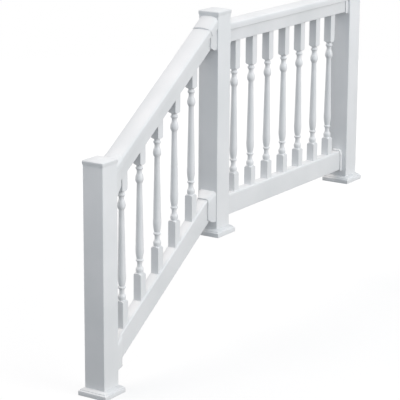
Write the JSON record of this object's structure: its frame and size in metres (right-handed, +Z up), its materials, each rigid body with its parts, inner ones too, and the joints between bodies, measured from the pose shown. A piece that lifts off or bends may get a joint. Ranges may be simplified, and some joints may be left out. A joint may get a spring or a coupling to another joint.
{
  "type": "deck railing section",
  "caption": "White vinyl deck railing: a sloping stair bay and a level bay of turned balusters between rails on capped square posts.",
  "frame": {"origin": "centre of the lower post's foot, on the ground plane", "axes": "+X along the railing from the lower post up towards the level bay, +Z up, -Y is the side that the picture shows"},
  "size_m": [2.155, 0.141, 1.504],
  "materials": {
    "sleeve_vinyl": "extruded white vinyl, satin",
    "rail_vinyl": "extruded white vinyl, satin",
    "baluster_vinyl": "turned white vinyl, satin",
    "moulded_vinyl": "injection moulded white vinyl, satin",
    "post_timber": "rough sawn treated pine"
  },
  "bodies": {
    "root": {"end_post_base_trim": "moulded_vinyl", "end_post_cap": "moulded_vinyl", "end_post_core": "post_timber", "end_post_sleeve": "sleeve_vinyl", "level_baluster_1": "baluster_vinyl", "level_baluster_2": "baluster_vinyl", "level_baluster_3": "baluster_vinyl", "level_baluster_4": "baluster_vinyl", "level_baluster_5": "baluster_vinyl", "level_baluster_6": "baluster_vinyl", "level_baluster_7": "baluster_vinyl", "level_bottom_boot_far": "moulded_vinyl", "level_bottom_boot_near": "moulded_vinyl", "level_bottom_rail": "rail_vinyl", "level_top_boot_far": "moulded_vinyl", "level_top_boot_near": "moulded_vinyl", "level_top_rail": "rail_vinyl", "lower_post_base_trim": "moulded_vinyl", "lower_post_cap": "moulded_vinyl", "lower_post_core": "post_timber", "lower_post_sleeve": "sleeve_vinyl", "middle_post_base_trim": "moulded_vinyl", "middle_post_cap": "moulded_vinyl", "middle_post_core": "post_timber", "middle_post_sleeve": "sleeve_vinyl", "stair_baluster_1": "baluster_vinyl", "stair_baluster_2": "baluster_vinyl", "stair_baluster_3": "baluster_vinyl", "stair_baluster_4": "baluster_vinyl", "stair_baluster_5": "baluster_vinyl", "stair_bottom_boot_lower": "moulded_vinyl", "stair_bottom_boot_upper": "moulded_vinyl", "stair_bottom_rail": "rail_vinyl", "stair_top_boot_lower": "moulded_vinyl", "stair_top_boot_upper": "moulded_vinyl", "stair_top_rail": "rail_vinyl"}
  },
  "joints": []
}
